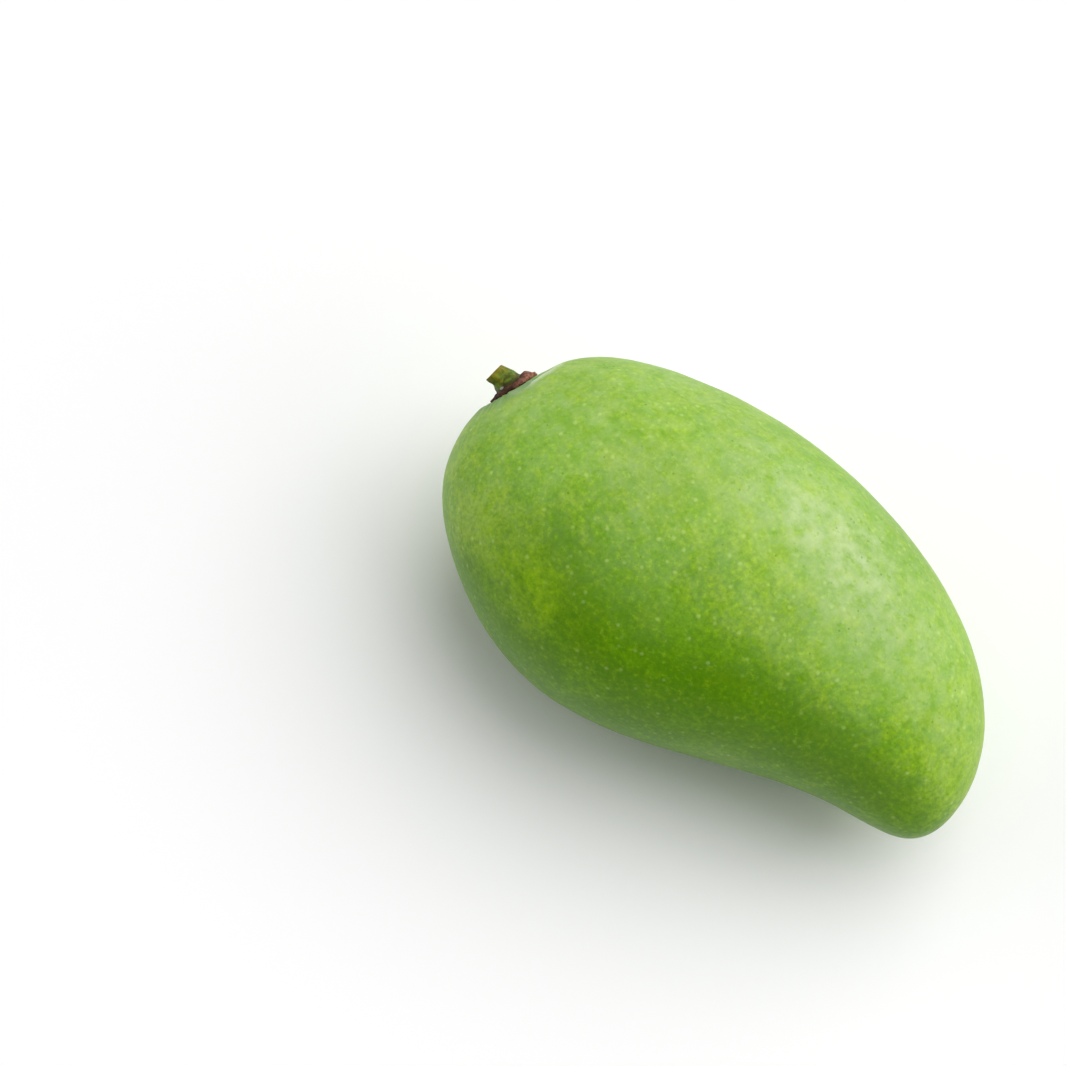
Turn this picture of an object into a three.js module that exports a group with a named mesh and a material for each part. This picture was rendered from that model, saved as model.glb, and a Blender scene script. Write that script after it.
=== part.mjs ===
// A green mango lying on its cheek, with the cut stub of its stem still in place.
// Millimetres, +Z up. The origin is the middle of the small flat spot that the fruit rests on,
// under its weight. The stem end points along -X, the tip along +X, the back of the fruit along
// +Y and its belly along -Y.

import * as THREE from 'three';
import { mergeVertices } from 'three/addons/utils/BufferGeometryUtils.js';

const degrees = Math.PI / 180;
const touchGap = 0.3; // left between neighbours that touch on the real fruit

// Driving dimensions of the fruit. Its outlines are sums of waves in the angle that runs from 0 at
// the stem end to 180 degrees at the tip, and each list holds the heights of the waves.
const fruit = {
  length: 136.5,
  halfWidth: [38.6, 4.7, -0.2, -0.3, 1], // sine waves, from the middle line out to the back
  halfThickness: [36, 2.6, 0.8], // sine waves, from the middle out to a cheek
  middleLine: [-9.3, -1.5, 2.8, -1.3], // cosine waves, how far the middle bends to the back
  fullness: 0.032, // how far the cross-section stands out past an ellipse between its axes
  swell: 0.01, // height of the slow swells in the skin, as a share of the half width
  lean: 3 * degrees, // the tip lies lower than the stem end
  lift: new THREE.Vector3(5.4, 0.3, 34.5), // from the middle of the fruit's axis to the origin
  detail: 17, // times that each edge of the icosahedron is split
};

// The stem end: a flat seat under the collar, in a shallow dimple that opens to the back
const seat = {
  toward: new THREE.Vector3(-1, 0.1, 0.1).normalize(), // from the fruit's middle
  axis: new THREE.Vector3(-1, 0.13, 0.21).normalize(), // out of the fruit
  depth: 1.7,
  flatRadius: 6,
  rimRadius: 9,
};
const dimple = { depth: 1.7, radius: 7, offset: 4.2 };

// The dried collar where the stem joins
const collar = {
  radius: 5.6,
  rimThickness: 0.7,
  thickness: 1.4,
  raggedness: 0.09, // of the radius
  sides: 48,
};

// The stub of the stem
const stub = {
  baseRadius: 3.3,
  neckRadius: 2.5,
  cutRadius: 2.3,
  length: 3.9,
  leanToBelly: 1, // how far the cut end stands off the collar's axis
  cutSlope: 0.22, // rise of the slanting cut across the stub, as a share of its width
  sides: 32,
};

function waves(heights, wave, angle) {
  return heights.reduce((sum, height, index) => sum + height * wave((index + 1) * angle), 0);
}

// The point of the plain body that a direction from the fruit's middle leads to
function bodyPoint(toward) {
  const along = Math.acos(-toward.x);
  const around = Math.atan2(toward.z, toward.y);
  const full = 1 + fruit.fullness * (1 - Math.cos(4 * around)) / 2;
  const lengthwise = Math.sin(5 * toward.x + 3 * toward.z);
  const swell = 1 + fruit.swell * lengthwise * Math.sin(4 * toward.y - 2 * toward.z + 1);
  const width = waves(fruit.halfWidth, Math.sin, along) * Math.cos(around);
  const thickness = waves(fruit.halfThickness, Math.sin, along) * Math.sin(around);
  const point = new THREE.Vector3(
    (fruit.length / 2) * toward.x,
    waves(fruit.middleLine, Math.cos, along) + width * full * swell,
    thickness * full * swell,
  );
  return point.applyAxisAngle(new THREE.Vector3(0, 1, 0), fruit.lean).add(fruit.lift);
}

// The stem's own frame on the seat: +Z out of the fruit, +X towards its back
function seatFrame() {
  const towardBack = new THREE.Vector3(0, 1, 0).addScaledVector(seat.axis, -seat.axis.y).normalize();
  const sideways = new THREE.Vector3().crossVectors(seat.axis, towardBack);
  const frame = new THREE.Matrix4().makeBasis(towardBack, sideways, seat.axis);
  return frame.setPosition(bodyPoint(seat.toward).addScaledVector(seat.axis, -seat.depth));
}

const fromSeat = seatFrame();
const toSeat = fromSeat.clone().invert();

// The same point with the dimple and the seat pressed in and the resting spot flattened
function skinPoint(toward) {
  const point = bodyPoint(toward);
  if (toward.x < 0) {
    point.applyMatrix4(toSeat);
    const fromDimple = Math.hypot(point.x - dimple.offset, point.y);
    point.z -= dimple.depth * Math.exp(-((fromDimple / dimple.radius) ** 2));
    const offAxis = Math.hypot(point.x, point.y);
    point.z *= THREE.MathUtils.smoothstep(offAxis, seat.flatRadius, seat.rimRadius);
    point.applyMatrix4(fromSeat);
  }
  point.z = Math.max(point.z, 0);
  return point;
}

function moveVertices(geometry, move) {
  const places = geometry.attributes.position;
  const place = new THREE.Vector3();
  for (let index = 0; index < places.count; index += 1) {
    place.copy(move(place.fromBufferAttribute(places, index)));
    places.setXYZ(index, place.x, place.y, place.z);
  }
  return geometry;
}

// Only positions are kept, so that vertices along seams are shared and the body is closed
function closed(geometry) {
  geometry.deleteAttribute('normal');
  geometry.deleteAttribute('uv');
  const merged = mergeVertices(geometry, 0.001);
  merged.computeVertexNormals();
  return merged;
}

function makeFruit() {
  const ball = new THREE.IcosahedronGeometry(1, fruit.detail);
  ball.deleteAttribute('normal');
  ball.deleteAttribute('uv');
  const geometry = moveVertices(mergeVertices(ball, 0.0001), (place) => skinPoint(place.normalize()));
  geometry.computeVertexNormals();
  const skin = new THREE.MeshStandardMaterial({ color: 0x7fb03c, roughness: 0.5, metalness: 0 });
  const mesh = new THREE.Mesh(geometry, skin);
  mesh.name = 'mango_fruit';
  return mesh;
}

// A domed disc with a ragged edge, thinnest at the rim
function makeCollar() {
  const { radius, thickness, rimThickness } = collar;
  const profile = [
    new THREE.Vector2(0, 0),
    new THREE.Vector2(radius * 0.5, 0),
    new THREE.Vector2(radius * 0.94, 0),
    new THREE.Vector2(radius, rimThickness * 0.5),
    new THREE.Vector2(radius * 0.92, rimThickness),
    new THREE.Vector2(radius * 0.72, thickness * 0.8),
    new THREE.Vector2(radius * 0.5, thickness),
    new THREE.Vector2(0, thickness),
  ];
  const geometry = new THREE.LatheGeometry(profile, collar.sides);
  geometry.rotateX(Math.PI / 2);
  moveVertices(geometry, (place) => {
    const turn = Math.atan2(place.y, place.x);
    const ragged = Math.sin(3 * turn + 0.6) + 0.5 * Math.sin(7 * turn) + 0.4 * Math.sin(11 * turn + 2);
    const share = Math.hypot(place.x, place.y) / radius;
    const stretch = 1 + collar.raggedness * ragged * THREE.MathUtils.smoothstep(share, 0.5, 1);
    return place.set(place.x * stretch, place.y * stretch, place.z);
  });
  const bark = new THREE.MeshStandardMaterial({ color: 0x4a1f1c, roughness: 0.8, metalness: 0 });
  const mesh = new THREE.Mesh(closed(geometry), bark);
  mesh.name = 'stem_collar';
  mesh.position.z = touchGap;
  return mesh;
}

// A tapering stub that leans to the belly and ends in a slanting cut
function makeStub() {
  const { baseRadius, neckRadius, cutRadius, length } = stub;
  const profile = [
    new THREE.Vector2(0, 0),
    new THREE.Vector2(baseRadius, 0),
    new THREE.Vector2(baseRadius * 0.95, length * 0.12),
    new THREE.Vector2(neckRadius * 1.08, length * 0.32),
    new THREE.Vector2(neckRadius, length * 0.6),
    new THREE.Vector2(cutRadius, length * 0.94),
    new THREE.Vector2(cutRadius * 0.92, length),
    new THREE.Vector2(0, length),
  ];
  const geometry = new THREE.LatheGeometry(profile, stub.sides);
  geometry.rotateX(Math.PI / 2);
  moveVertices(geometry, (place) => {
    const share = place.z / length;
    const slant = stub.cutSlope * place.x * share ** 3;
    return place.set(place.x - stub.leanToBelly * share ** 2, place.y, place.z + slant);
  });
  const bark = new THREE.MeshStandardMaterial({ color: 0x6f7d24, roughness: 0.7, metalness: 0 });
  const mesh = new THREE.Mesh(closed(geometry), bark);
  mesh.name = 'stem_stub';
  mesh.position.z = touchGap + collar.thickness + touchGap;
  return mesh;
}

function makeStem() {
  const stem = new THREE.Group();
  fromSeat.decompose(stem.position, stem.quaternion, stem.scale);
  stem.add(makeCollar(), makeStub());
  return stem;
}

const mango = new THREE.Group();
mango.add(makeFruit(), makeStem());

export default mango;
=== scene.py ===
import math

import bmesh
import bpy
from mathutils import Matrix, Vector, noise


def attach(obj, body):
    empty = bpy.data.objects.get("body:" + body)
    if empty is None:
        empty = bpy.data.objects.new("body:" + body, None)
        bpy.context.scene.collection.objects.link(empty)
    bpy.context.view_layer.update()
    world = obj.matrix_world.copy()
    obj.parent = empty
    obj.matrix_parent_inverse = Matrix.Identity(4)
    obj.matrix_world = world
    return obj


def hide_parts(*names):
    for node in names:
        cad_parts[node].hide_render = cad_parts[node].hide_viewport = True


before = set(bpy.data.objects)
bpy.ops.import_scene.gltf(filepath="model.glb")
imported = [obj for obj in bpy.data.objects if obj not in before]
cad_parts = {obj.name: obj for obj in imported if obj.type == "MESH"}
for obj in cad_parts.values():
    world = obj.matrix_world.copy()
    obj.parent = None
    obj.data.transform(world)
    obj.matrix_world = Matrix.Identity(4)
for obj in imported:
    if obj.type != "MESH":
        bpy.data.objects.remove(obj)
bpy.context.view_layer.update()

# A green mango lying on its cheek, in metres. The stem end points along -X, the tip along +X,
# the back of the fruit along +Y, and the origin is the middle of the spot it rests on.


# The body. Its outlines are sums of waves in the angle that runs from the stem end to the tip.
fruit = {
    "length": 0.1365,
    "halfWidth": (0.0386, 0.0047, -0.0002, -0.0003, 0.001),  # sine waves
    "halfThickness": (0.036, 0.0026, 0.0008),  # sine waves
    "middleLine": (-0.0093, -0.0015, 0.0028, -0.0013),  # cosine waves, toward the back
    "fullness": 0.032,  # how far the section stands out past an ellipse
    "swell": 0.01,  # slow swells, as a share of the section
    "swellWaves": ((5, 0, 3, 0), (0, 4, -2, 1)),  # waves along X, Y and Z, and their start
    "lean": math.radians(3),  # the tip lies lower than the stem end
    "lift": Vector((0.0054, 0.0003, 0.0345)),  # brings the resting spot to the origin
}

# The flat seat under the collar, in its dimple, with the creases and the low lip round it
seat = {
    "toward": Vector((-1, 0.1, 0.1)).normalized(),  # where it lies, from the fruit's middle
    "axis": Vector((-1, 0.13, 0.21)).normalized(),  # the way the stem points
    "depth": 0.0017,
    "flatRadius": 0.006,
    "rimRadius": 0.009,
    "dimpleDepth": 0.0017,
    "dimpleRadius": 0.007,
    "dimpleOffset": 0.0042,  # toward the back
    "creases": 23,
    "creaseDepth": 0.0002,
    "creaseWander": ((4, 3, 1, 0), (2, 7, 0, 300)),  # height, waves in a turn, start, twist
    "creaseStart": (0.0045, 0.0065),  # they set in between these radii
    "creaseReach": 0.009,
    "lipRadius": 0.0126,
    "lipHeight": 0.0005,
    "lipWidth": 0.0008,
    "lipMiddle": math.radians(-60),  # the lip runs round the upper cheek and the back
    "lipSpread": math.radians(26),
    "lipWander": ((0.0005, 5, 0), (0.00015, 13, 1)),  # height, waves in a turn, start
    "hollowDepth": 0.0004,  # just inside the lip
    "hollowInset": 0.0022,
    "hollowWidth": 0.0018,
}


def waves(heights, wave, angle):
    return sum(height * wave((index + 1) * angle) for index, height in enumerate(heights))


def turnWaves(ripples, turn):
    return sum(height * math.sin(count * turn + start) for height, count, start in ripples)


def smoothStep(value, low, high):
    share = min(max((value - low) / (high - low), 0), 1)
    return share * share * (3 - 2 * share)


def bodyPoint(toward):
    # the plain body, in a direction from the fruit's middle
    along = math.acos(min(max(-toward.x, -1), 1))
    around = math.atan2(toward.z, toward.y)
    full = 1 + fruit["fullness"] * (1 - math.cos(4 * around)) / 2
    swell = fruit["swell"]
    for alongX, alongY, alongZ, start in fruit["swellWaves"]:
        swell *= math.sin(alongX * toward.x + alongY * toward.y + alongZ * toward.z + start)
    width = waves(fruit["halfWidth"], math.sin, along) * math.cos(around)
    thickness = waves(fruit["halfThickness"], math.sin, along) * math.sin(around)
    point = Vector((
        fruit["length"] / 2 * toward.x,
        waves(fruit["middleLine"], math.cos, along) + width * full * (1 + swell),
        thickness * full * (1 + swell),
    ))
    return Matrix.Rotation(fruit["lean"], 3, "Y") @ point + fruit["lift"]


def makeSeatFrame():
    # X toward the back of the fruit, Z out along the stem
    axis = seat["axis"]
    towardBack = (Vector((0, 1, 0)) - axis * axis.y).normalized()
    sideways = axis.cross(towardBack)
    frameMatrix = Matrix((towardBack, sideways, axis)).transposed().to_4x4()
    frameMatrix.translation = bodyPoint(seat["toward"]) - axis * seat["depth"]
    return frameMatrix


fromSeat = makeSeatFrame()
toSeat = fromSeat.inverted()


def bandShare(local, radius, width):
    # 1 along an arc beside the collar, fading out across and at both ends
    turn = math.atan2(local.y, local.x) - seat["lipMiddle"]
    turn = (turn + math.pi) % (2 * math.pi) - math.pi
    wander = turnWaves(seat["lipWander"], turn)
    across = (math.hypot(local.x, local.y) - radius - wander) / width
    return math.exp(-across * across - abs(turn / seat["lipSpread"]) ** 3)


def creaseShare(local):
    # 1 in the bottom of a crease, 0 on its crest
    turn = math.atan2(local.y, local.x)
    offAxis = math.hypot(local.x, local.y)
    angle = turn * seat["creases"]
    for height, count, start, twist in seat["creaseWander"]:
        angle += height * math.sin(count * turn + start + twist * offAxis)
    return (1 - math.cos(angle)) / 2


def pressSeat(point):
    # the dimple first, then the flat seat, the creases that run out from the collar, and the lip
    local = toSeat @ point
    fromDimple = math.hypot(local.x - seat["dimpleOffset"], local.y)
    local.z -= seat["dimpleDepth"] * math.exp(-((fromDimple / seat["dimpleRadius"]) ** 2))
    offAxis = math.hypot(local.x, local.y)
    local.z *= smoothStep(offAxis, seat["flatRadius"], seat["rimRadius"])
    start, full = seat["creaseStart"]
    fade = smoothStep(offAxis, start, full)
    fade *= math.exp(-(max(offAxis - full, 0) / seat["creaseReach"]) ** 2)
    local.z -= seat["creaseDepth"] * fade * creaseShare(local)
    local.z += seat["lipHeight"] * bandShare(local, seat["lipRadius"], seat["lipWidth"])
    hollowRadius = seat["lipRadius"] - seat["hollowInset"]
    local.z -= seat["hollowDepth"] * bandShare(local, hollowRadius, seat["hollowWidth"])
    return fromSeat @ local


def skinPoint(toward):
    point = bodyPoint(toward)
    if toward.x < 0:
        point = pressSeat(point)
    point.z = max(point.z, 0)
    return point


# Nodes for the materials, which read object coordinates and attributes

def startMaterial(name):
    material = bpy.data.materials.new(name)
    material.use_nodes = True
    tree = material.node_tree
    return material, tree, tree.nodes["Principled BSDF"]


def setInput(tree, socket, value):
    if isinstance(value, (int, float)):
        socket.default_value = value
    elif isinstance(value, tuple):
        socket.default_value = (*value, 1)  # a colour
    else:
        tree.links.new(value, socket)


def addCoords(tree, place=(0, 0, 0), turn=(0, 0, 0), stretch=(1, 1, 1)):
    coords = tree.nodes.new("ShaderNodeTexCoord")
    mapping = tree.nodes.new("ShaderNodeMapping")
    mapping.inputs["Location"].default_value = place
    mapping.inputs["Rotation"].default_value = turn
    mapping.inputs["Scale"].default_value = stretch
    tree.links.new(coords.outputs["Object"], mapping.inputs["Vector"])
    return mapping.outputs["Vector"]


def addNoise(tree, vector, scale, detail, roughness, warp=0):
    node = tree.nodes.new("ShaderNodeTexNoise")
    node.inputs["Scale"].default_value = scale
    node.inputs["Detail"].default_value = detail
    node.inputs["Roughness"].default_value = roughness
    node.inputs["Distortion"].default_value = warp
    tree.links.new(vector, node.inputs["Vector"])
    return node.outputs["Fac"]


def addCells(tree, vector, scale):
    node = tree.nodes.new("ShaderNodeTexVoronoi")
    node.inputs["Scale"].default_value = scale
    tree.links.new(vector, node.inputs["Vector"])
    return node.outputs["Distance"], node.outputs["Color"]


def addRange(tree, value, low, high, start=0, end=1):
    node = tree.nodes.new("ShaderNodeMapRange")
    node.interpolation_type = "SMOOTHSTEP"
    node.inputs["From Min"].default_value = low
    node.inputs["From Max"].default_value = high
    node.inputs["To Min"].default_value = start
    node.inputs["To Max"].default_value = end
    tree.links.new(value, node.inputs["Value"])
    return node.outputs["Result"]


def addMath(tree, operation, first, second):
    node = tree.nodes.new("ShaderNodeMath")
    node.operation = operation
    setInput(tree, node.inputs[0], first)
    setInput(tree, node.inputs[1], second)
    return node.outputs["Value"]


def addSum(tree, first, second):
    return addMath(tree, "ADD", first, second)


def addProduct(tree, first, second):
    return addMath(tree, "MULTIPLY", first, second)


def addMix(tree, share, first, second):
    node = tree.nodes.new("ShaderNodeMix")
    node.data_type = "RGBA"
    setInput(tree, node.inputs[0], share)
    setInput(tree, node.inputs[6], first)  # A, as a colour
    setInput(tree, node.inputs[7], second)  # B, as a colour
    return node.outputs[2]


def addBump(tree, height, strength, distance, under=None):
    node = tree.nodes.new("ShaderNodeBump")
    node.inputs["Strength"].default_value = strength
    node.inputs["Distance"].default_value = distance
    tree.links.new(height, node.inputs["Height"])
    if under:
        tree.links.new(under, node.inputs["Normal"])
    return node.outputs["Normal"]


def addAttribute(tree, name):
    node = tree.nodes.new("ShaderNodeAttribute")
    node.attribute_name = name
    return node.outputs["Fac"]


# Meshes of the pieces

def spinSection(mesh, section, sides):
    # a section of radii and heights that starts and ends on the axis, spun once round
    verts = [mesh.verts.new((radius, 0, height)) for radius, height in section]
    edges = [mesh.edges.new(pair) for pair in zip(verts, verts[1:])]
    bmesh.ops.spin(
        mesh, geom=verts + edges, cent=(0, 0, 0), axis=(0, 0, 1),
        angle=2 * math.pi, steps=sides, use_merge=True,
    )
    bmesh.ops.remove_doubles(mesh, verts=mesh.verts, dist=1e-6)
    # spin lists its faces in another order each time Blender starts
    mesh.verts.index_update()
    count = len(mesh.verts)
    mesh.faces.sort(key=lambda face: face.verts[0].index * count + face.verts[1].index)


def finishPiece(mesh, name, material, node):
    bmesh.ops.recalc_face_normals(mesh, faces=mesh.faces)
    data = bpy.data.meshes.new(name)
    mesh.to_mesh(data)
    mesh.free()
    data.shade_smooth()
    piece = bpy.data.objects.new(name, data)
    bpy.context.scene.collection.objects.link(piece)
    data.materials.append(material)
    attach(piece, "root")
    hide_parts(node)


# The skin. A noise is its scale, detail and roughness, and on slanted coordinates its warp.
skin = {
    "fineness": 7,  # subdivisions of the starting ball
    "stemFineness": (math.radians(23), math.radians(17)),  # split again this near the stem
    "dents": ((110, 0.00011), (430, 0.000025)),  # fineness and height of the unevenness
    "dentFloor": (0.0003, 0.004),  # heights over the floor between which the dents set in
    "dentSeat": (0.006, 0.01),  # and distances from the stem's axis

    "deepGreen": (0.08, 0.222, 0.0004),
    "coolGreen": (0.205, 0.445, 0.006),
    "yellowGreen": (0.325, 0.53, 0.002),
    "warmAndLit": (0.28, 0.50, 0.001),
    "rubbed": (0.17, 0.38, 0.0005),
    "glint": (0.42, 0.64, 0.012),
    # the pale veil of bloom, which also paints the broad highlight along the back of the fruit
    "bloomAndHighlight": (0.55, 0.67, 0.36),
    "dot": (0.52, 0.69, 0.20),
    "speck": (0.09, 0.20, 0.01),
    "neck": (0.13, 0.26, 0.08),  # darker, duller skin round the collar: partly its own dull tone, partly painted shade under the collar
    # the pale line along the lip, partly pale skin and partly a painted highlight
    "lip": (0.68, 0.73, 0.58),
    "warmShift": 0.16,  # how far a warm patch turns the tint to yellow
    "rubbedStrength": 0.5,
    "bareStrength": 0.25,
    "neckShadeStrength": 0.75,

    "broadNoise": (30, 3, 0.55),
    "mottleNoise": (290, 4, 0.62),
    "spotNoise": (620, 2, 0.5),
    "grainNoise": (850, 3, 0.7),
    "tintNoise": (230, 5, 0.68, 0.2),
    "wearNoise": (85, 6, 0.7, 0.2),
    "slant": (0, 0, math.radians(41)),
    "slantStretch": (0.7, 1, 1),
    "dotScale": 440,
    "speckScale": 300,
    "speckPlace": (0.3, 0.1, 0.2),
    "grainBump": (0.25, 0.0002),
    "dotBump": (0.3, 0.00015),
    "roughness": (0.38, 0.50),  # bare, and under the bloom and painted highlight
    "specular": 0.12,
    "subsurface": 0.08,
    "subsurfaceRadius": (1, 0.8, 0.3),
    "subsurfaceScale": 0.003,

    "bloomAndHighlightMost": 0.98,
    "bloomAndHighlightEdge": (-0.030, 0.027),  # the veil of bloom and painted highlight sets in between these, toward the lit back
    "bloomAndHighlightAtStem": (0.8, 0.025),  # past this toward the stem it reaches further round the belly
    "bloomAndHighlightAtTip": (0.35, 0.03),  # and past this toward the tip, less far
    "bloomAndHighlightWander": (35, 0.02),
    "bloomAndHighlightThinning": (0.35, 0.022, 0.036),  # how much thinner, between these along the back
    "patchWarp": ((90, 0.005), (260, 0.003)),
    "patchSeed": 1795497840,  # of the warp, which follows the clock without one
    # places where the bloom and painted highlight are thicker, or with a minus thinner, which
    # paints shade: middle, reach, how much
    "bloomAndHighlightPatches": (
        ((0.001, 0.020, 0.066), 0.011, 0.5),
        ((0.016, 0.021, 0.065), 0.012, 0.85),
        ((0.028, 0.020, 0.062), 0.010, 0.25),
        ((0.041, 0.020, 0.059), 0.008, 0.2),
        ((0.050, 0.010, 0.058), 0.011, -0.25),
        ((-0.034, 0.013, 0.062), 0.018, -0.2),
        ((0.014, 0.007, 0.068), 0.010, -0.35),
        ((-0.002, 0.004, 0.070), 0.011, -0.2),
        ((-0.046, -0.023, 0.060), 0.009, 0.2),
        ((-0.043, -0.034, 0.052), 0.011, 0.2),
        ((-0.028, -0.033, 0.057), 0.014, 0.12),
        ((-0.052, 0.006, 0.056), 0.011, -0.3),
        ((-0.042, -0.012, 0.065), 0.009, -0.2),
        ((0.067, 0.009, 0.042), 0.013, 0.2),
    ),
    # places where the skin is yellower and lighter, or with a minus, a cooler and darker green;
    # some of them are painted light and painted shade
    "warmAndLitPatches": (
        ((-0.016, -0.032, 0.062), 0.011, 0.9),
        ((-0.029, -0.030, 0.060), 0.011, 0.9),
        ((-0.041, -0.033, 0.055), 0.009, 0.7),
        ((0.008, -0.004, 0.069), 0.009, 0.4),
        ((-0.021, 0.003, 0.070), 0.009, 0.4),
        ((0.071, 0.010, 0.041), 0.014, 0.9),
        ((-0.041, -0.013, 0.065), 0.012, -0.9),
        ((-0.012, -0.016, 0.069), 0.010, -0.7),
        ((0.008, -0.022, 0.064), 0.012, -0.8),
        ((0.027, -0.014, 0.060), 0.011, -0.2),
        ((0.041, 0.007, 0.061), 0.011, -0.8),
        ((0.016, 0.035, 0.053), 0.018, -0.6),
        ((-0.044, 0.020, 0.052), 0.014, -0.5),
    ),

    "stemReach": 0.02,  # how far down into the fruit a place still counts as beside the stem
    "lipReach": 0.03,
    "rimWidth": 0.00075,  # of the pale line along the lip, partly a painted highlight
    "rimStrength": (0.9, 0.5),  # steady, and varied by noise
    "rimFineness": 450,
    "crestStrength": 0.22,  # of the paler crests between the creases
    "crestStart": (0.0055, 0.008),
    "crestEnd": (0.009, 0.017),
    "crestFineness": 300,
    "neckEnd": (0.009, 0.0145),
    "neckWander": (200, 0.002),
    "neckThinning": (0.45, 0, 0.008),  # how much fainter, between these toward the back
}


def addGreens(tree, broad, tint, bloomAndHighlight):
    # cool and yellow greens, deeper in broad patches, and deeper on the belly where the bloom is
    # missing: partly the belly's own colour, partly painted shade
    colour = addMix(
        tree, addRange(tree, tint, 0.34, 0.66), skin["coolGreen"], skin["yellowGreen"],
    )
    colour = addMix(tree, addRange(tree, broad, 0.35, 0.7, 0, 0.35), colour, skin["deepGreen"])
    # the belly's deep green, partly its own colour and partly painted shade
    return addMix(tree, addRange(tree, bloomAndHighlight, 0.05, 0.5, 0.78, 0), colour, skin["deepGreen"])


def addGrain(tree, colour, grain, bloomAndHighlight, warmAndLit):
    # dark grain with paler glints between
    dark = addProduct(
        tree, addRange(tree, grain, 0.42, 0.68), addRange(tree, bloomAndHighlight, 0.1, 0.8, 0.7, 0.26),
    )
    dark = addProduct(tree, dark, addRange(tree, warmAndLit, 0.1, 0.9, 1, 0.7))
    colour = addMix(tree, dark, colour, skin["deepGreen"])
    glint = addProduct(
        tree, addRange(tree, grain, 0.28, 0.46, 1, 0), addRange(tree, bloomAndHighlight, 0, 0.6, 0.28, 0.5),
    )
    return addMix(tree, glint, colour, skin["glint"])


def addVeilAndHighlight(tree, mottle, bloomAndHighlight, rubbed, bare):
    # the bloom with its painted highlight, thinner where the skin is rubbed or bare
    veilAndHighlight = addProduct(tree, addRange(tree, mottle, 0.24, 0.76, 0.4, 1.1), bloomAndHighlight)
    veilAndHighlight = addProduct(tree, veilAndHighlight, addRange(tree, rubbed, 0, 1, 0.42, 0.2))
    return addProduct(tree, veilAndHighlight, addRange(tree, bare, 0, 1, 1, 0.55))


def addDots(tree, vector, bloomAndHighlight):
    # pale pores, each of its own strength, and fainter where the bloom and painted highlight are
    # missing
    distance, cellColour = addCells(tree, vector, skin["dotScale"])
    strength = addRange(tree, cellColour, 0.35, 0.85, 0.05, 0.5)
    dots = addProduct(tree, addRange(tree, distance, 0.07, 0.3, 1, 0), strength)
    return addProduct(tree, dots, addRange(tree, bloomAndHighlight, 0, 0.5, 0.6, 1))


def addSpecks(tree):
    distance, _ = addCells(tree, addCoords(tree, place=skin["speckPlace"]), skin["speckScale"])
    return addRange(tree, distance, 0.04, 0.10, 0.5, 0)


def makeSkinMaterial():
    material, tree, shader = startMaterial("mangoSkin")
    plain = addCoords(tree)
    slanted = addCoords(tree, turn=skin["slant"], stretch=skin["slantStretch"])
    broad = addNoise(tree, plain, *skin["broadNoise"])
    mottle = addNoise(tree, plain, *skin["mottleNoise"])
    grain = addNoise(tree, plain, *skin["grainNoise"])
    tint = addNoise(tree, slanted, *skin["tintNoise"])
    wear = addNoise(tree, slanted, *skin["wearNoise"])
    bloomAndHighlight = addAttribute(tree, "bloomAndHighlight")
    # yellower patches, and with a minus cooler ones, partly painted light and painted shade
    patches = addAttribute(tree, "warmAndLit")

    tint = addSum(tree, tint, addProduct(tree, patches, skin["warmShift"]))
    colour = addGreens(tree, broad, tint, bloomAndHighlight)
    warmAndLit = addProduct(
        tree, addRange(tree, patches, 0, 1.1), addRange(tree, tint, 0.4, 0.7, 0.1, 0.95),
    )
    warmAndLit = addProduct(tree, warmAndLit, addRange(tree, wear, 0.42, 0.56, 0.5, 1))
    colour = addMix(tree, warmAndLit, colour, skin["warmAndLit"])

    rubbed = addProduct(
        tree, addRange(tree, wear, 0.49, 0.62), addRange(tree, bloomAndHighlight, 0.3, 1, 1, 0.4),
    )
    bare = addRange(tree, addNoise(tree, plain, *skin["spotNoise"]), 0.57, 0.74)
    colour = addMix(tree, addProduct(tree, rubbed, skin["rubbedStrength"]), colour, skin["rubbed"])
    colour = addMix(tree, addProduct(tree, bare, skin["bareStrength"]), colour, skin["rubbed"])
    colour = addGrain(tree, colour, grain, bloomAndHighlight, warmAndLit)

    veilAndHighlight = addVeilAndHighlight(tree, mottle, bloomAndHighlight, rubbed, bare)
    # the veil paints the pale bloom and the broad highlight on it
    colour = addMix(tree, veilAndHighlight, colour, skin["bloomAndHighlight"])
    dots = addDots(tree, plain, bloomAndHighlight)
    colour = addMix(tree, dots, colour, skin["dot"])
    colour = addMix(tree, addSpecks(tree), colour, skin["speck"])

    # the stem end
    # painted shade round and under the collar, with the skin's duller tone
    neck = addProduct(tree, addAttribute(tree, "neck"), skin["neckShadeStrength"])
    colour = addMix(tree, neck, colour, skin["neck"])
    # the lip's pale line, partly a painted highlight
    lip = addProduct(tree, addAttribute(tree, "lip"), addRange(tree, mottle, 0.3, 0.6, 0.6, 1))
    colour = addMix(tree, lip, colour, skin["lip"])
    tree.links.new(colour, shader.inputs["Base Color"])

    roughness = addRange(tree, veilAndHighlight, 0, 0.3, *skin["roughness"])
    tree.links.new(roughness, shader.inputs["Roughness"])
    grainBump = addBump(tree, grain, *skin["grainBump"])
    tree.links.new(addBump(tree, dots, *skin["dotBump"], grainBump), shader.inputs["Normal"])
    shader.inputs["Specular IOR Level"].default_value = skin["specular"]
    shader.inputs["Subsurface Weight"].default_value = skin["subsurface"]
    shader.inputs["Subsurface Radius"].default_value = skin["subsurfaceRadius"]
    shader.inputs["Subsurface Scale"].default_value = skin["subsurfaceScale"]
    return material


def besideStem(place):
    # a place in the seat's frame, and how far it is from the stem's axis
    local = toSeat @ place
    return local, math.hypot(local.x, local.y) if local.z > -skin["stemReach"] else 1


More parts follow.
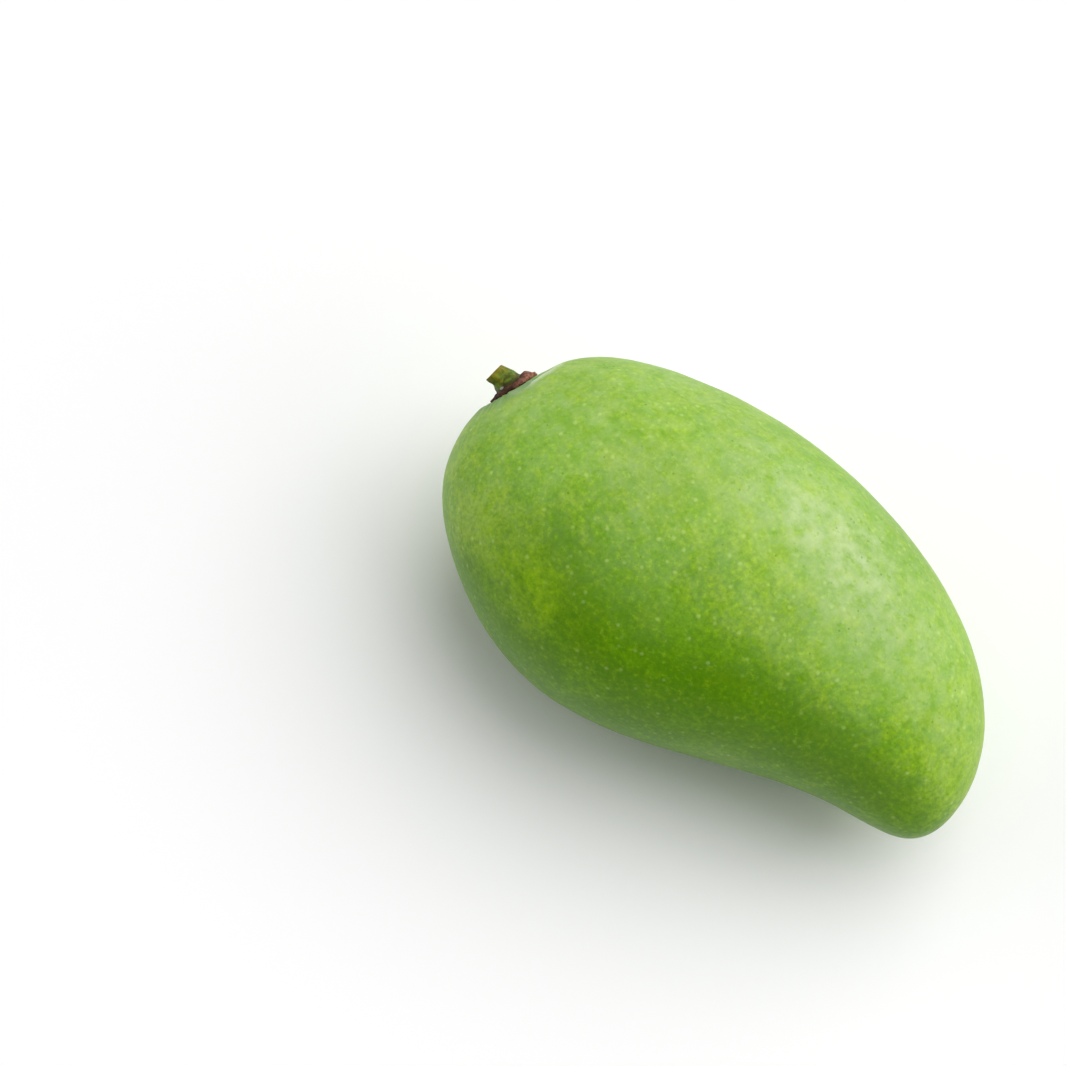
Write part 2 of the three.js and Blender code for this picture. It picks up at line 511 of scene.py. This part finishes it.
def patchShare(place, patches):
    return sum(
        strength * math.exp(-((place - Vector(middle)).length / reach) ** 2)
        for middle, reach, strength in patches
    )


def bloomAndHighlightShare(place, warped):
    # the bloom on the back, partly real bloom and partly a painted highlight; where it is missing,
    # the belly is painted in shade
    slope, start = skin["bloomAndHighlightAtStem"]
    side = place.y + slope * max(-place.x - start, 0)
    slope, start = skin["bloomAndHighlightAtTip"]
    side -= slope * max(place.x - start, 0)
    fineness, reach = skin["bloomAndHighlightWander"]
    side += reach * noise.noise(place * fineness)
    thinning, start, end = skin["bloomAndHighlightThinning"]
    share = skin["bloomAndHighlightMost"] * smoothStep(side, *skin["bloomAndHighlightEdge"])
    share *= 1 - thinning * smoothStep(place.y, start, end)
    return max(share + patchShare(warped, skin["bloomAndHighlightPatches"]), 0)


def lipPaleAndHighlightShare(place):
    # the pale line along the lip, partly a painted highlight, and the paler crests between the
    # creases
    local, offAxis = besideStem(place)
    if offAxis >= skin["lipReach"]:
        return 0
    crest = skin["crestStrength"] * (1 - creaseShare(local)) ** 2
    crest *= smoothStep(offAxis, *skin["crestStart"])
    broken = smoothStep(noise.noise(place * skin["crestFineness"]), -0.2, 0.4)
    crest *= (1 - smoothStep(offAxis, *skin["crestEnd"])) * broken
    steady, varied = skin["rimStrength"]
    rim = bandShare(local, seat["lipRadius"], skin["rimWidth"])
    rim *= steady + varied * noise.noise(place * skin["rimFineness"])
    return max(rim, crest)


def neckShadeShare(place):
    # the skin's duller tone and painted shade round the collar, fainter toward the back
    local, offAxis = besideStem(place)
    fineness, reach = skin["neckWander"]
    share = 1 - smoothStep(offAxis + reach * noise.noise(place * fineness), *skin["neckEnd"])
    thinning, start, end = skin["neckThinning"]
    return share * (1 - thinning * smoothStep(local.x, start, end))


def paintSkin(mesh):
    # attributes that the material reads
    noise.seed_set(skin["patchSeed"])
    layers = {name: mesh.verts.layers.float.new(name) for name in ("bloomAndHighlight", "warmAndLit", "lip", "neck")}
    for vert in mesh.verts:
        warped = vert.co.copy()
        for fineness, reach in skin["patchWarp"]:
            warped += reach * noise.noise_vector(vert.co * fineness)
        vert[layers["bloomAndHighlight"]] = bloomAndHighlightShare(vert.co, warped)
        vert[layers["warmAndLit"]] = patchShare(warped, skin["warmAndLitPatches"])
        vert[layers["lip"]] = lipPaleAndHighlightShare(vert.co)
        vert[layers["neck"]] = neckShadeShare(vert.co)


def dentSkin(mesh):
    # slow unevenness, away from the resting spot and the seat
    mesh.normal_update()
    for vert in mesh.verts:
        _, offAxis = besideStem(vert.co)
        free = smoothStep(vert.co.z, *skin["dentFloor"]) * smoothStep(offAxis, *skin["dentSeat"])
        dent = sum(height * noise.noise(vert.co * fineness) for fineness, height in skin["dents"])
        vert.co += vert.normal * dent * free


def makeFruit():
    mesh = bmesh.new()
    bmesh.ops.create_icosphere(mesh, subdivisions=skin["fineness"], radius=1)
    for reach in skin["stemFineness"]:
        nearStem = [
            edge for edge in mesh.edges
            if all(vert.co.angle(seat["toward"]) < reach for vert in edge.verts)
        ]
        bmesh.ops.subdivide_edges(mesh, edges=nearStem, cuts=1, use_grid_fill=True)
        manySided = [face for face in mesh.faces if len(face.verts) > 3]
        bmesh.ops.triangulate(mesh, faces=manySided)
    for vert in mesh.verts:
        vert.co = skinPoint(vert.co.normalized())
    paintSkin(mesh)
    dentSkin(mesh)
    finishPiece(mesh, "mangoSkin", makeSkinMaterial(), "mango_fruit")


# The dried collar where the stem joins, made in the seat's frame
collar = {
    "radius": 0.0056,
    "foot": 0.0001,
    "rimHeight": 0.0008,
    "crown": 0.0013,
    "backCrown": 0.0008,  # added toward the back
    "crownRadius": 0.0038,
    "raggedness": 0.09,
    "rags": ((1, 3, 0.6), (0.5, 7, 0), (0.4, 11, 2)),  # height, waves in a turn, start
    "flakes": 0.00035,
    "flakeFineness": (14, 40),
    "curl": 0.0003,
    "curlFineness": 7,
    "furrows": ((9, 0.00016), (26, 0.0001)),  # fineness and height
    "wrinkles": (900, 0.00018),
    "rings": 30,
    "sides": 160,
    "dark": (0.038, 0.011, 0.005),
    "red": (0.21, 0.060, 0.030),
    "pale": (0.48, 0.25, 0.17),
    "blotchNoise": (380, 4, 0.65),
    "fibreNoise": (2200, 3, 0.7),
    "fibreBump": (0.6, 0.0003),
    "roughness": (0.6, 0.85),
    "specular": 0.25,
}


def makeCollarMaterial():
    material, tree, shader = startMaterial("driedCollar")
    coords = addCoords(tree)
    blotches = addNoise(tree, coords, *collar["blotchNoise"])
    fibres = addNoise(tree, coords, *collar["fibreNoise"])
    rim = addAttribute(tree, "rim")

    # redder blotches and paler fibres, most of all at the rim
    red = addSum(
        tree, addRange(tree, blotches, 0.42, 0.62, 0, 0.8), addRange(tree, rim, 0.5, 1, 0, 0.5),
    )
    colour = addMix(tree, red, collar["dark"], collar["red"])
    pale = addProduct(
        tree, addRange(tree, fibres, 0.35, 0.7), addRange(tree, rim, 0.5, 0.95, 0.05, 1),
    )
    colour = addMix(tree, pale, colour, collar["pale"])
    tree.links.new(colour, shader.inputs["Base Color"])

    roughness = addRange(tree, fibres, 0.3, 0.7, *collar["roughness"])
    tree.links.new(roughness, shader.inputs["Roughness"])
    tree.links.new(addBump(tree, fibres, *collar["fibreBump"]), shader.inputs["Normal"])
    shader.inputs["Specular IOR Level"].default_value = collar["specular"]
    return material


def collarSection():
    # out along the underside at level 0, up round the rim, and back along the top at level 1
    radius, rings = collar["radius"], collar["rings"]
    section = [(radius * index / rings, 0) for index in range(rings)]
    section += [(radius, 0.2), (radius, 0.5), (radius * 0.99, 0.8)]
    section += [(radius * 0.975 * (1 - index / rings), 1) for index in range(rings + 1)]
    return section


def collarHeight(around, turn, reach):
    # of the top, with its crown, its furrows and its wrinkles
    share = reach / collar["radius"]
    crown = collar["crown"] + collar["backCrown"] * max(around.x, 0) ** 2
    climb = 1 - smoothStep(reach, collar["crownRadius"], collar["radius"])
    (broad, broadHeight), (narrow, narrowHeight) = collar["furrows"]
    furrow = noise.noise(around * broad) * broadHeight
    furrow += noise.noise(around * narrow + Vector((0, 0, 3 * share))) * narrowHeight
    fineness, height = collar["wrinkles"]
    wrinkle = height * noise.noise(Vector((reach, turn * 0.004, 0)) * fineness)
    uneven = furrow * smoothStep(share, 0.3, 0.7) + wrinkle
    return collar["rimHeight"] + (crown - collar["rimHeight"]) * climb + uneven


def makeCollar():
    mesh = bmesh.new()
    rimLayer = mesh.verts.layers.float.new("rim")
    spinSection(mesh, collarSection(), collar["sides"])
    coarse, fine = collar["flakeFineness"]
    for vert in mesh.verts:
        turn = math.atan2(vert.co.y, vert.co.x)
        reach = math.hypot(vert.co.x, vert.co.y)
        share = reach / collar["radius"]
        level = vert.co.z
        around = Vector((math.cos(turn), math.sin(turn), 0))
        ragged = turnWaves(collar["rags"], turn)
        torn = noise.noise(around * coarse + Vector((0, 0, level)))
        torn += 0.5 * noise.noise(around * fine)
        stretch = collar["raggedness"] * ragged + torn * collar["flakes"] / collar["radius"]
        stretch = 1 + stretch * smoothStep(share, 0.5, 1)
        curl = collar["curl"] * smoothStep(share, 0.85, 1)
        curl *= noise.noise(around * collar["curlFineness"] + Vector((5, 0, 0)))
        vert[rimLayer] = share * (0.65 + 0.35 * around.x)
        vert.co = Vector((
            vert.co.x * stretch,
            vert.co.y * stretch,
            collar["foot"] + level * collarHeight(around, turn, reach) + curl,
        ))
    mesh.transform(fromSeat)
    finishPiece(mesh, "stemCollar", makeCollarMaterial(), "stem_collar")


# The cut stub of the stem, made in the seat's frame. Its heights are shares of its length.
stub = {
    "start": 0.0009,  # height of its foot over the seat, inside the collar
    "length": 0.0049,
    "baseRadius": 0.0038,
    "neckRadius": 0.0026,
    "cutRadius": 0.00235,
    "flare": 0.3,  # height over which the foot narrows to the neck
    "cutRings": (0.95, 0.85, 0.7, 0.5, 0.3, 0.15, 0),  # shares of the cut's radius
    "shiftToBelly": 0.0003,
    "leanToBelly": 0.0017,
    "cutSlope": 0.22,
    "ridges": 7,
    "ridgeHeight": 0.00008,
    "lumps": (650, 0.0002),  # fineness and height
    # swellings: turn, height, half width, half height, how far out
    "knuckles": (
        (math.radians(-92), 0.34, 0.42, 0.11, 0.0006),
        (math.radians(5), 0.55, 0.9, 0.28, 0.00055),
        (math.radians(140), 0.32, 0.45, 0.14, 0.0004),
    ),
    "scar": (math.radians(-135), 0.2, 0.22, 0.07),  # turn, height, half width, half height
    "rows": 48,
    "sides": 112,
    "olive": (0.23, 0.24, 0.004),
    "leafGreen": (0.125, 0.24, 0.008),
    "brown": (0.040, 0.032, 0.003),
    "amber": (0.22, 0.17, 0.012),
    "wood": (0.52, 0.43, 0.19),
    "pith": (0.20, 0.17, 0.05),
    "pale": (0.34, 0.36, 0.28),
    "knuckleStrength": 0.6,
    "blotchNoise": (420, 3, 0.6),
    "markNoise": (560, 4, 0.6),
    "fineNoise": (1500, 3, 0.7),
    "fineBump": (0.5, 0.0003),
    "roughness": (0.45, 0.7),
    "specular": 0.25,
}


def makeStubMaterial():
    material, tree, shader = startMaterial("stemBark")
    coords = addCoords(tree)
    blotches = addNoise(tree, coords, *stub["blotchNoise"])
    marks = addNoise(tree, coords, *stub["markNoise"])
    fine = addNoise(tree, coords, *stub["fineNoise"])
    height = addAttribute(tree, "height")

    # green bark with brown marks, dark brown at its foot, partly brown bark and partly painted
    # shade where it meets the collar, and amber at its top
    colour = addMix(tree, addRange(tree, blotches, 0.38, 0.62), stub["olive"], stub["leafGreen"])
    colour = addMix(tree, addRange(tree, height, 0.5, 0.9, 0, 0.6), colour, stub["olive"])
    aged = addRange(tree, height, 0.45, 0.8, 1, 0.3)
    brown = addProduct(tree, addRange(tree, marks, 0.4, 0.6, 0, 0.8), aged)
    colour = addMix(tree, brown, colour, stub["brown"])
    colour = addMix(tree, addRange(tree, fine, 0.5, 0.66, 0, 0.5), colour, stub["brown"])
    knuckle = addProduct(tree, addAttribute(tree, "knuckle"), stub["knuckleStrength"])
    colour = addMix(tree, knuckle, colour, stub["leafGreen"])
    # the dark foot: brown bark and painted shade where it meets the collar
    colour = addMix(tree, addRange(tree, height, 0.1, 0.4, 0.95, 0), colour, stub["brown"])
    colour = addMix(tree, addAttribute(tree, "scar"), colour, stub["pale"])
    colour = addMix(tree, addRange(tree, height, 0.86, 0.97, 0, 0.9), colour, stub["amber"])

    # the cut: pale wood with a darker heart and a brown skin at its edge
    inner = addAttribute(tree, "inner")
    wood = addMix(tree, addRange(tree, fine, 0.38, 0.62, 0, 0.4), stub["wood"], stub["amber"])
    wood = addMix(tree, addRange(tree, blotches, 0.45, 0.65, 0, 0.4), wood, stub["pith"])
    wood = addMix(tree, addRange(tree, inner, 0.72, 0.95, 0, 0.8), wood, stub["pith"])
    colour = addMix(tree, addRange(tree, inner, 0.1, 0.3), colour, wood)
    tree.links.new(colour, shader.inputs["Base Color"])

    roughness = addRange(tree, fine, 0.3, 0.7, *stub["roughness"])
    tree.links.new(roughness, shader.inputs["Roughness"])
    tree.links.new(addBump(tree, fine, *stub["fineBump"]), shader.inputs["Normal"])
    shader.inputs["Specular IOR Level"].default_value = stub["specular"]
    return material


def stubSection():
    # from the middle of the foot up the side, and in across the slightly hollow cut
    section = [(0, 0)]
    for index in range(stub["rows"] + 1):
        share = index / stub["rows"]
        flare = math.exp(-((share / stub["flare"]) ** 1.5))
        radius = stub["neckRadius"] + (stub["baseRadius"] - stub["neckRadius"]) * flare
        radius += (stub["cutRadius"] - stub["neckRadius"]) * share
        section.append((radius, share * stub["length"]))
    for share in stub["cutRings"]:
        height = stub["length"] * (1.01 - 0.04 * (1 - share))
        section.append((stub["cutRadius"] * share, height))
    return section


def makeStub():
    mesh = bmesh.new()
    names = ("height", "inner", "knuckle", "scar")
    layers = {name: mesh.verts.layers.float.new(name) for name in names}
    spinSection(mesh, stubSection(), stub["sides"])
    lumpFineness, lumpHeight = stub["lumps"]
    scarTurn, scarLevel, scarWidth, scarHeight = stub["scar"]
    for vert in mesh.verts:
        share = vert.co.z / stub["length"]
        turn = math.atan2(vert.co.y, vert.co.x)
        reach = math.hypot(vert.co.x, vert.co.y)
        outside = smoothStep(reach / stub["cutRadius"], 0.8, 0.98)  # 0 inside the cut's edge
        out = stub["ridgeHeight"] * math.cos(stub["ridges"] * turn + 2 * share)
        out += lumpHeight * noise.noise(vert.co * lumpFineness)
        knuckle = 0
        for middle, level, halfWidth, halfHeight, depth in stub["knuckles"]:
            aside = (turn - middle + math.pi) % (2 * math.pi) - math.pi
            near = math.exp(-((aside / halfWidth) ** 2) - ((share - level) / halfHeight) ** 2)
            knuckle = max(knuckle, near)
            out += depth * near
        aside = (turn - scarTurn) / scarWidth
        scar = math.exp(-aside * aside - ((share - scarLevel) / scarHeight) ** 2)
        inner = 1 - min(reach / stub["cutRadius"], 1)
        vert[layers["height"]] = share
        vert[layers["inner"]] = smoothStep(share, 0.93, 0.96) * inner
        vert[layers["knuckle"]] = smoothStep(knuckle, 0.4, 0.8) * outside
        vert[layers["scar"]] = smoothStep(scar, 0.35, 0.7) * outside
        swell = 1 + out * outside / max(reach, 0.001)
        slant = stub["cutSlope"] * vert.co.x * share ** 3
        vert.co = Vector((
            vert.co.x * swell - stub["shiftToBelly"] - stub["leanToBelly"] * share ** 1.5,
            vert.co.y * swell,
            vert.co.z + slant + stub["start"],
        ))
    mesh.transform(fromSeat)
    finishPiece(mesh, "stemStub", makeStubMaterial(), "stem_stub")


# A pale floor in soft light, with a white wall all round the horizon
studio = {
    "floorSize": 20,
    "floorDrop": 0.0002,  # just under the resting spot
    "floorColour": (0.98, 0.98, 0.98),
    "floorRoughness": 0.9,
    "floorSpecular": 0.1,
    "ceiling": 0.08,
    "wall": 1,
    "wallEnd": (0.07, 0.15),  # sines of the angles between which the wall fades into the ceiling
    # toward the light, its power and its width
    "suns": {
        "key": (Vector((0.00, 0.56, 0.83)), 1.79, math.radians(60)),
        "top": (Vector((-0.20, 0.22, 0.95)), 0.74, math.radians(60)),
        "side": (Vector((0.66, 0.50, 0.54)), 0.92, math.radians(60)),
        "fill": (Vector((-0.76, -0.42, 0.50)), 0.53, math.radians(50)),
    },
}


def makeFloor():
    mesh = bmesh.new()
    bmesh.ops.create_grid(mesh, x_segments=1, y_segments=1, size=studio["floorSize"] / 2)
    bmesh.ops.translate(mesh, verts=mesh.verts, vec=(0, 0, -studio["floorDrop"]))
    data = bpy.data.meshes.new("floor")
    mesh.to_mesh(data)
    mesh.free()
    floor = bpy.data.objects.new("floor", data)
    bpy.context.scene.collection.objects.link(floor)
    material, _, shader = startMaterial("paleFloor")
    shader.inputs["Base Color"].default_value = (*studio["floorColour"], 1)
    shader.inputs["Roughness"].default_value = studio["floorRoughness"]
    shader.inputs["Specular IOR Level"].default_value = studio["floorSpecular"]
    data.materials.append(material)


def makeWall():
    world = bpy.data.worlds.new("studio")
    bpy.context.scene.world = world
    world.use_nodes = True
    tree = world.node_tree
    coords = tree.nodes.new("ShaderNodeTexCoord")
    split = tree.nodes.new("ShaderNodeSeparateXYZ")
    tree.links.new(coords.outputs["Generated"], split.inputs["Vector"])
    height = split.outputs["Z"]
    strength = addRange(tree, height, *studio["wallEnd"], studio["wall"], studio["ceiling"])
    backdrop = tree.nodes["Background"]
    backdrop.inputs["Color"].default_value = (1, 1, 1, 1)
    tree.links.new(strength, backdrop.inputs["Strength"])


def makeLights():
    for name, (toward, power, width) in studio["suns"].items():
        light = bpy.data.lights.new(name, "SUN")
        light.angle = width
        light.energy = power
        sun = bpy.data.objects.new(name, light)
        bpy.context.scene.collection.objects.link(sun)
        sun.rotation_euler = toward.to_track_quat("Z", "Y").to_euler()


# Looks down on the fruit, a little from the belly and the tip
camera = {
    "lens": 100,
    "distance": 0.656,
    "azimuth": math.radians(48.8),
    "elevation": math.radians(78),
    "target": Vector((-0.0338, -0.0217, 0.0377)),
}


def makeCamera():
    data = bpy.data.cameras.new("camera")
    data.lens = camera["lens"]
    view = bpy.data.objects.new("camera", data)
    bpy.context.scene.collection.objects.link(view)
    azimuth, elevation = camera["azimuth"], camera["elevation"]
    back = Vector((
        math.sin(azimuth) * math.cos(elevation),
        -math.cos(azimuth) * math.cos(elevation),
        math.sin(elevation),
    ))
    right = Vector((math.cos(azimuth), math.sin(azimuth), 0))
    view.matrix_world = (
        Matrix.Translation(camera["target"] + back * camera["distance"])
        @ Matrix((right, back.cross(right), back)).transposed().to_4x4()
    )
    bpy.context.scene.camera = view


makeFruit()
print("fruit made")
makeCollar()
makeStub()
print("stem made")
makeFloor()
makeWall()
makeLights()
makeCamera()
bpy.context.scene.view_settings.view_transform = "Standard"
print("floor, light and camera set")
